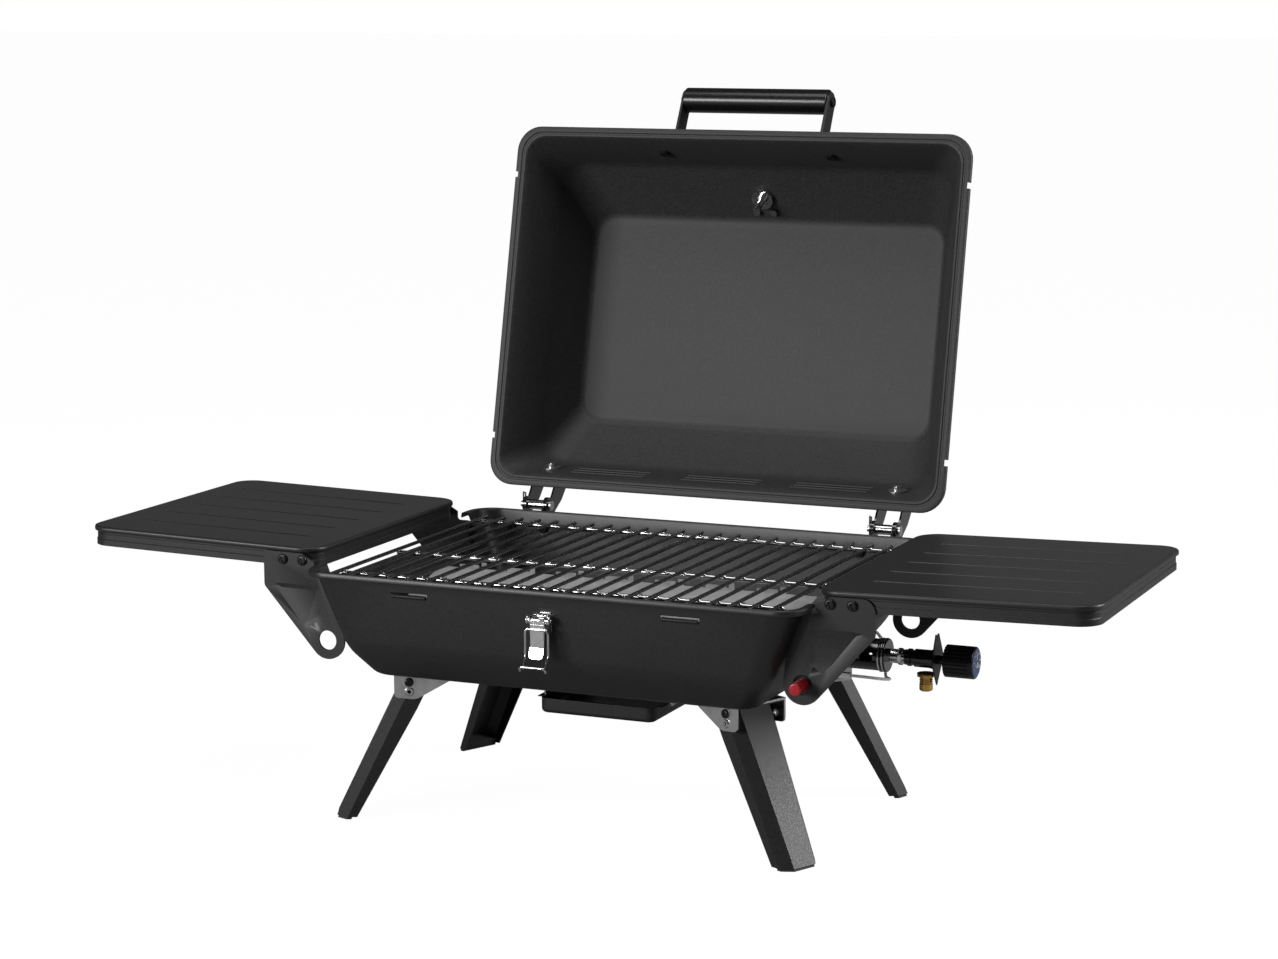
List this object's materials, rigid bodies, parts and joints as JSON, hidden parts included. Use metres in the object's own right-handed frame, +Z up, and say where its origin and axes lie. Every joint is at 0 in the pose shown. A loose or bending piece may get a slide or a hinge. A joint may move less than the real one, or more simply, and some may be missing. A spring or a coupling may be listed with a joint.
{
  "type": "gas barbecue grill",
  "caption": "Portable gas barbecue grill with folding legs, hinged lid, wire grate, two side tables, drip tray, push igniter and a side gas valve with a knob.",
  "frame": {"origin": "on the ground below the middle of the whole grill's box with the lid open", "axes": "+Z up, -Y to the front with the latch, +X to the side with the gas valve"},
  "size_m": [0.9736, 0.5712, 0.6484],
  "materials": {
    "black_paint": "satin fine texture",
    "lid_paint": "satin fine texture",
    "gloss_black": "gloss",
    "black_screw": "gloss",
    "zinc": "zinc plated",
    "chrome_wire": "plated",
    "aluminised": "matt sheet",
    "bright_steel": "bright",
    "brass": "machined",
    "black_plastic": "moulded",
    "red_plastic": "moulded",
    "blue_plastic": "moulded",
    "white_lead": "silicone sleeve",
    "ceramic": "glazed ceramic",
    "black_rubber": "moulded"
  },
  "bodies": {
    "firebox": {"firebox_tub": "black_paint", "grate_rests": "black_paint", "burner_tube": "aluminised", "burner_brackets": "aluminised", "flame_tamer": "aluminised", "right_side_table": "black_paint", "left_side_table": "black_paint", "right_table_bracket": "black_paint", "left_table_bracket": "black_paint", "table_screws": "black_screw", "table_bracket_bolts": "black_screw", "leg_brackets": "zinc", "leg_pivot_bolts": "zinc", "drip_tray_rails": "zinc", "tub_hinge_brackets": "gloss_black", "hinge_bolts": "black_screw", "hinge_pins": "zinc", "hinge_clips": "chrome_wire", "hinge_spacers": "chrome_wire", "latch_base": "bright_steel", "latch_rivets": "bright_steel", "venturi_tube": "gloss_black", "venturi_collar": "gloss_black", "gas_coupling": "bright_steel", "valve_body": "gloss_black", "gas_inlet_nipple": "brass", "valve_plate": "black_paint", "igniter_body": "black_plastic", "igniter_nut": "black_plastic", "igniter_terminal": "bright_steel", "ignition_lead": "white_lead", "lead_grommet": "black_rubber", "spark_electrode": "ceramic"},
    "lid": {"lid_shell": "lid_paint", "lid_hinge_arms": "gloss_black", "lid_hinge_nuts": "zinc", "lid_handle_tube": "black_plastic", "lid_handle_arms": "black_paint", "lid_handle_screws": "black_screw", "thermometer_dial": "bright_steel", "thermometer_nut": "bright_steel", "thermometer_pins": "bright_steel"},
    "latch_lever": {"latch_lever": "bright_steel"},
    "latch_bail": {"latch_bail": "chrome_wire"},
    "drip_tray": {"drip_tray": "black_paint"},
    "cooking_grate": {"cooking_grate": "chrome_wire"},
    "control_knob": {"control_knob": "black_plastic", "knob_cap": "blue_plastic"},
    "igniter_button": {"igniter_button": "red_plastic"},
    "front_left_leg": {"front_left_leg": "black_paint", "front_left_foot": "black_rubber"},
    "rear_left_leg": {"rear_left_leg": "black_paint", "rear_left_foot": "black_rubber"},
    "front_right_leg": {"front_right_leg": "black_paint", "front_right_foot": "black_rubber"},
    "rear_right_leg": {"rear_right_leg": "black_paint", "rear_right_foot": "black_rubber"}
  },
  "joints": [
    {"name": "lid_hinge", "type": "hinge", "parent": "firebox", "child": "lid", "pos_m": [0, 0.11471, 0.2375], "axis": [1, 0, 0], "range_deg": [0, 103]},
    {"name": "latch_lever_hinge", "type": "hinge", "parent": "firebox", "child": "latch_lever", "pos_m": [0, -0.26953, 0.21], "axis": [-1, 0, 0], "range_deg": [0, 100]},
    {"name": "latch_bail_swing", "type": "hinge", "parent": "latch_lever", "child": "latch_bail", "pos_m": [0, -0.27393, 0.2025], "axis": [-1, 0, 0], "range_deg": [-5, 85]},
    {"name": "drip_tray_slide", "type": "slide", "parent": "firebox", "child": "drip_tray", "axis": [0, -1, 0], "range_m": [0, 0.1]},
    {"name": "grate_lift", "type": "slide", "parent": "firebox", "child": "cooking_grate", "axis": [0, 0, 1], "range_m": [0, 0.12]},
    {"name": "knob_turn", "type": "hinge", "parent": "firebox", "child": "control_knob", "pos_m": [0.32, -0.08529, 0.163], "axis": [-1, 0, 0], "range_deg": [0, 180]},
    {"name": "igniter_push", "type": "slide", "parent": "firebox", "child": "igniter_button", "axis": [0, 1, 0], "range_m": [0, 0.004], "stiffness_N_per_m": 800, "springref_m": -0.001},
    {"name": "front_left_leg_fold", "type": "hinge", "parent": "firebox", "child": "front_left_leg", "pos_m": [-0.167, -0.19229, 0.1215], "axis": [0.4226, -0.9063, 0], "range_deg": [0, 96]},
    {"name": "rear_left_leg_fold", "type": "hinge", "parent": "firebox", "child": "rear_left_leg", "pos_m": [-0.167, 0.02171, 0.1215], "axis": [-0.4226, -0.9063, 0], "range_deg": [0, 96]},
    {"name": "front_right_leg_fold", "type": "hinge", "parent": "firebox", "child": "front_right_leg", "pos_m": [0.167, -0.19229, 0.1215], "axis": [0.4226, 0.9063, 0], "range_deg": [0, 96]},
    {"name": "rear_right_leg_fold", "type": "hinge", "parent": "firebox", "child": "rear_right_leg", "pos_m": [0.167, 0.02171, 0.1215], "axis": [-0.4226, 0.9063, 0], "range_deg": [0, 96]}
  ]
}
